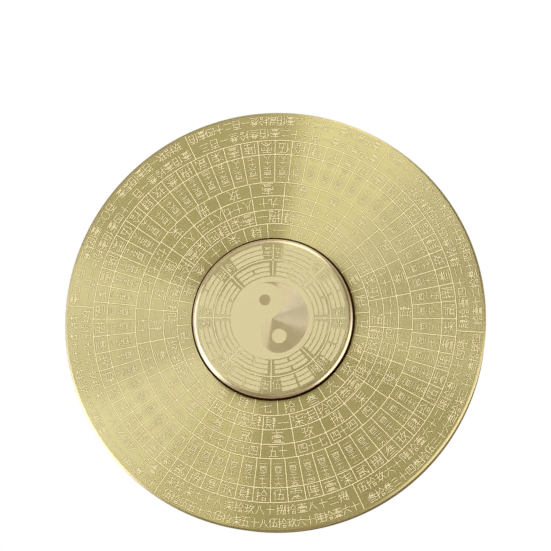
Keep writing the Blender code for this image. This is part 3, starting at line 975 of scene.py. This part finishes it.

# %% [markdown]
# The dial's relief
#
# On the dial the frosted parts stand up from the turned ground, so the dark joints between the
# bars are the ground seen through narrow slots. A trigram is three lines, whole or broken: the
# bars are arcs, so they go through the same stroke tree, with the bar's height as the width of
# the stroke. The two-lobed figure has curved outlines, and a 2D curve with holes is the simple
# way to fill them. The dial's lines are brighter than its bars, with a narrow border of painted
# shade, and the bars have a still thinner one.

# %% The trigrams
FACE_TURN = -21.9
DIAL_SECTORS = 8
BARS = dict(
    outer=dict(radius=14.00 * MM, height=0.76 * MM, gap=0.16 * MM, half_angle=13.6),
    inner=dict(radius=10.60 * MM, height=0.72 * MM, gap=0.18 * MM, half_angle=18.6))
BAR_BREAK = 0.40 * MM
BAR_STEP_DEGREES = 1.0
BAR_BORDER_WIDTH = 0.01 * MM

# The lines of each trigram from the centre outwards, 1 for a whole line and 0 for a broken one
HEAVEN, LAKE, FIRE, THUNDER = (1, 1, 1), (1, 1, 0), (1, 0, 1), (1, 0, 0)
WIND, WATER, MOUNTAIN, EARTH = (0, 1, 1), (0, 1, 0), (0, 0, 1), (0, 0, 0)
TRIGRAMS = dict(
    outer=(HEAVEN, WIND, WATER, MOUNTAIN, EARTH, THUNDER, FIRE, LAKE),
    inner=(FIRE, EARTH, LAKE, HEAVEN, WATER, MOUNTAIN, THUNDER, WIND))


def bar_spans(whole, half_angle, radius):
    """The angles that a line of a trigram covers, in one piece or in two."""
    if whole:
        return [(-half_angle, half_angle)]
    half_break = math.degrees(BAR_BREAK / 2 / radius)
    return [(-half_angle, -half_break), (half_break, half_angle)]


def bar_paths(name, trigrams, radius, height, gap, half_angle):
    """The middle line of every bar of a ring of trigrams, as edges."""
    points, edges = [], []
    for place, lines in enumerate(trigrams):
        middle = FACE_TURN + place * 360 / len(trigrams)
        for line, whole in enumerate(lines):
            away = radius - height / 2 - (len(lines) - 1 - line) * (height + gap)
            for first, last in bar_spans(whole, half_angle, away):
                steps = max(1, round((last - first) / BAR_STEP_DEGREES))
                start = len(points)
                points += [
                    face_place(middle + first + (last - first) * i / steps, away, DIAL_Z)
                    for i in range(steps + 1)]
                edges += [(start + i, start + i + 1) for i in range(steps)]
    mesh = bpy.data.meshes.new(name)
    mesh.from_pydata(points, edges, [])
    return mesh


for ring, recipe in BARS.items():
    name = ring + "_trigrams"
    # Each bar stands on a thin border of painted shade.
    values = {
        **ENGRAVED, "Width": recipe["height"], "Height": 2 * BAR_RISE,
        "Material": FINISH["frosted_brass"], "Border": BAR_BORDER_WIDTH}
    grow(name, CUT_STROKES, bar_paths(name, TRIGRAMS[ring], **recipe), values, "dial")

# %% The two-lobed figure
BAND_RADIUS = 7.90 * MM
TAIJI_RADIUS = 6.90 * MM
BRIGHT_EYE_RADIUS = 1.38 * MM
DARK_EYE_RADIUS = 1.05 * MM
EYE_SHIFT = 0.25 * MM
GROUND_RISE = 0.01 * MM
FIGURE_STEPS = 96


def add_plate(name, outlines, rise, finish):
    """A flat plate on the dial. Its first outline is its edge, and the others are holes."""
    bottom, top = DIAL_Z - RELIEF_HEIGHT, DIAL_Z + rise
    curve = bpy.data.curves.new(name, "CURVE")
    curve.dimensions = "2D"
    curve.fill_mode = "BOTH"
    curve.extrude = (top - bottom) / 2
    for outline in outlines:
        spline = curve.splines.new("POLY")
        spline.points.add(len(outline) - 1)
        for point, (x, y) in zip(spline.points, outline):
            point.co = (x, y, 0, 1)
        spline.use_cyclic_u = True
    mesh = evaluated_mesh(link(bpy.data.objects.new(name + "_outline", curve)), name)
    shape = bmesh.new()
    shape.from_mesh(mesh)
    bmesh.ops.remove_doubles(shape, verts=shape.verts, dist=MERGE)
    bmesh.ops.recalc_face_normals(shape, faces=shape.faces)
    bmesh.ops.translate(shape, verts=shape.verts, vec=(0, 0, (top + bottom) / 2))
    shape.to_mesh(mesh)
    shape.free()
    mesh.materials.clear()
    mesh.materials.append(FINISH[finish])
    add_piece(name, mesh, "dial")


def circle(radius, steps, centre=(0, 0)):
    return arc(radius, 0, 360, centre, steps)[:-1]


def make_figure():
    """The bright half with the band round it, the bright eye, and the turned ground."""
    axis = 90 - FACE_TURN
    reach = TAIJI_RADIUS / 2
    head = face_place(FACE_TURN, reach, 0).xy
    tail = -head
    half = FIGURE_STEPS // 2
    dark_half = arc(TAIJI_RADIUS, axis, axis - 180, steps=half)
    dark_half += arc(reach, axis - 180, axis - 360, tail, half)[1:]
    dark_half += arc(reach, axis - 180, axis, head, half)[1:-1]
    eye_scale = (reach + EYE_SHIFT) / reach
    band = circle(BAND_RADIUS, 2 * FIGURE_STEPS)
    dark_eye = circle(DARK_EYE_RADIUS, half, head * eye_scale)
    bright_eye = circle(BRIGHT_EYE_RADIUS, half, tail * eye_scale)
    ground = circle(TAIJI_RADIUS, 2 * FIGURE_STEPS)
    add_plate("taiji_bright_half", [band, dark_half, dark_eye], BAR_RISE, "frosted_brass")
    add_plate("taiji_bright_eye", [bright_eye], BAR_RISE, "frosted_brass")
    add_plate("taiji_ground", [ground], GROUND_RISE, "figure_brass")


make_figure()

# %% The dial's lines and small marks
DIAL_MARK_OFFSET = 4.7
DIAL_MARK_RADIUS = 12.65 * MM
DIAL_MARK_SIZE = (1.35 * MM, 1.75 * MM)
DIAL_RING_LINE = 11.09 * MM
DIAL_SPOKE_INNER = 7.95 * MM
FIRST_DIAL_SPOKE = FACE_TURN + 180 / DIAL_SECTORS


def dial_marks():
    """Two numerals on each spoke, one on either side. They are half a round apart."""
    return [
        mark(FIRST_DIAL_SPOKE + sector * 360 / DIAL_SECTORS + side * DIAL_MARK_OFFSET,
             DIAL_MARK_RADIUS, DIAL_MARK_SIZE,
             ("formal", jumping(sector, 1, DIAL_SECTORS, shift)), DIAL_Z)
        for sector in range(DIAL_SECTORS)
        for side, shift in ((-1, 0), (1, DIAL_SECTORS // 2))]


add_marks("dial_marks", dial_marks(), FINE_STROKE_WIDTH, "dial")
add_ring_lines("dial_ring_line", [DIAL_RING_LINE], "dial")
add_spokes(
    "dial_lines", DIAL_SECTORS, FIRST_DIAL_SPOKE, DIAL_SPOKE_INNER, BARS["outer"]["radius"],
    "dial")

# %% [markdown]
# The hidden works
#
# The bearing, its circlip, the clamp screw and the back cover come from the frame as they are.
# They only need the finish that each has on a bench: ground races, polished balls, a moulded
# nylon cage and a zinc-plated screw.

# %% Finishes of the frame's own pieces
NODES_OF = {
    "turned_brass": ["back_cover"],
    "ground_steel": [
        "bearing_outer_race", "bearing_inner_race", "bearing_shield_upper",
        "bearing_shield_lower"],
    "cage_nylon": ["bearing_cage"],
    "zinc_plate": ["circlip", "clamp_washer", "clamp_screw"],
    "ball_chrome": [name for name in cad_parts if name.startswith("bearing_ball_")],
}
for finish, names in NODES_OF.items():
    for name in names:
        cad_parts[name].material_slots[0].material = FINISH[finish]
    print(finish + ":", ", ".join(names))

# %% [markdown]
# Floor, light and camera
#
# The photograph is a product shot on white, taken from almost straight above with the camera
# leaning to the lower right of the face. The floor is white to the camera and to reflections
# through its Light Path, so no extra light is needed for the background, and it keeps the
# shadow. Low walls at its edge keep the background white in low views, and a round opening
# under the disc, smaller than its foot, lets two lamps light the underside. Turned metal shows
# each lamp as a fan on the side that faces it, and a weaker one opposite. So the broad lamps
# stand where the photograph's fans point, at the top, the right and the left, and small ones
# fill in between. The lower a lamp, the more it lights the bevel and the rim.

# %% The floor
FLOOR_SIZE = 4.0
FLOOR_WALL_HEIGHT = 0.3
FLOOR_OPENING = 39.5 * MM
FLOOR_OPENING_STEPS = 64
FLOOR_COLOUR = (0.9, 0.9, 0.9)
FLOOR_ROUGHNESS = 0.9
CORNERS = ((-1, -1), (1, -1), (1, 1), (-1, 1))


def white_to_camera(tree, surface):
    """Mixes a surface with plain white for camera, glossy and transmission rays."""
    rays = add_node(tree, "ShaderNodeLightPath").outputs
    seen = calc(tree, "MAXIMUM", rays["Is Camera Ray"], rays["Is Glossy Ray"])
    seen = calc(tree, "MAXIMUM", seen, rays["Is Transmission Ray"])
    white = output_of(
        tree, "ShaderNodeEmission", {"Color": (1, 1, 1, 1), "Strength": 1.0})
    return output_of(tree, "ShaderNodeMixShader", {0: seen, 1: surface, 2: white})


def make_floor():
    material, tree, shader = new_material("white_floor", FLOOR_COLOUR, FLOOR_ROUGHNESS, 0.0)
    surface = white_to_camera(tree, shader.outputs[0])
    tree.links.new(surface, tree.nodes["Material Output"].inputs["Surface"])
    shape = bmesh.new()
    bmesh.ops.create_circle(shape, segments=FLOOR_OPENING_STEPS, radius=FLOOR_OPENING)
    half = FLOOR_SIZE / 2
    corners = [shape.verts.new((x * half, y * half, 0)) for x, y in CORNERS]
    sides = [shape.edges.new(pair) for pair in zip(corners, corners[1:] + corners[:1])]
    bmesh.ops.triangle_fill(shape, edges=shape.edges[:])
    raised = bmesh.ops.extrude_edge_only(shape, edges=sides)["geom"]
    corners = [part for part in raised if isinstance(part, bmesh.types.BMVert)]
    bmesh.ops.translate(shape, verts=corners, vec=(0, 0, FLOOR_WALL_HEIGHT))
    mesh = bpy.data.meshes.new("floor")
    shape.to_mesh(mesh)
    shape.free()
    mesh.materials.append(material)
    floor = link(bpy.data.objects.new("floor", mesh))
    print("floor:", len(mesh.polygons), "faces")


make_floor()

# %% The lamps and the world
WORLD_COLOUR = (1.0, 0.72, 0.22, 1.0)
WORLD_STRENGTH = 0.2
LAMP_DISTANCE = 1.0
WHITE = (1, 1, 1)
COOL_WHITE = (0.96, 0.97, 1.12)

# Each lamp's compass angle and elevation in degrees, width, height, power and colour
LAMPS = {
    "top_lamp": (14, 38, 0.40, 0.8, 3.1, WHITE),
    "right_strip": (86, 12, 0.4, 0.3, 0.45, WHITE),
    "right_lamp": (119, 20, 1.0, 0.65, 4.1, WHITE),
    "bottom_lamp": (172, 45, 0.43, 0.43, 0.5, WHITE),
    "low_left_lamp": (243, 25, 0.45, 0.8, 2.9, COOL_WHITE),
    "left_lamp": (269, 40, 0.8, 0.8, 5.2, COOL_WHITE),
    "upper_left_lamp": (338, 38, 0.9, 0.4, 0.75, WHITE),
    "back_left_lamp": (330, 60, 0.6, 0.6, 0.9, WHITE),
    "under_lamp": (200, -40, 0.8, 0.8, 7.0, WHITE),
    "under_fill": (70, -55, 0.6, 0.6, 3.5, WHITE),
}


def add_lamp(name, azimuth, elevation, width, height, power, colour):
    """A lamp that faces the object from a compass angle and a height."""
    up = math.radians(elevation)
    lamp = bpy.data.lights.new(name, "AREA")
    lamp.shape = "RECTANGLE"
    lamp.size = width
    lamp.size_y = height
    lamp.energy = power
    lamp.color = colour
    holder = link(bpy.data.objects.new(name, lamp))
    holder.location = face_place(
        azimuth, LAMP_DISTANCE * math.cos(up), FACE_Z + LAMP_DISTANCE * math.sin(up))
    holder.rotation_euler = (Vector((0, 0, FACE_Z)) - holder.location).to_track_quat(
        "-Z", "Y").to_euler()


world = bpy.data.worlds.new("studio")
world.use_nodes = True
background = world.node_tree.nodes["Background"]
background.inputs["Color"].default_value = WORLD_COLOUR
background.inputs["Strength"].default_value = WORLD_STRENGTH
bpy.context.scene.world = world
for name, recipe in LAMPS.items():
    add_lamp(name, *recipe)
print(len(LAMPS), "lamps")

# %% The camera
IMAGE_SIZE = 551
FOCAL_PIXELS = 1735.0
SENSOR = 36.0
FACE_CENTRE_PIXEL = (272.79, 318.87)
CAMERA_DISTANCE = 327.7 * MM
CAMERA_TILT = 9.94
CAMERA_LEAN = (0.609, -0.793)
NEAREST_SEEN = 0.01


def make_camera():
    camera = bpy.data.cameras.new("camera")
    camera.sensor_width = SENSOR
    camera.lens = FOCAL_PIXELS * SENSOR / IMAGE_SIZE
    camera.shift_x = (IMAGE_SIZE / 2 - FACE_CENTRE_PIXEL[0]) / IMAGE_SIZE
    camera.shift_y = (FACE_CENTRE_PIXEL[1] - IMAGE_SIZE / 2) / IMAGE_SIZE
    camera.clip_start = NEAREST_SEEN
    tilt = math.radians(CAMERA_TILT)
    lean_x, lean_y = CAMERA_LEAN
    away = Vector((lean_x * math.sin(tilt), lean_y * math.sin(tilt), math.cos(tilt)))
    holder = link(bpy.data.objects.new("camera", camera))
    turn = Matrix.Rotation(tilt, 4, Vector((-lean_y, lean_x, 0)))
    holder.matrix_world = Matrix.Translation(
        Vector((0, 0, FACE_Z)) + away * CAMERA_DISTANCE) @ turn
    bpy.context.scene.camera = holder
    print("camera lens %.1f mm, %.2f degrees from straight above" % (camera.lens, CAMERA_TILT))


make_camera()
bpy.context.scene.view_settings.view_transform = "Standard"
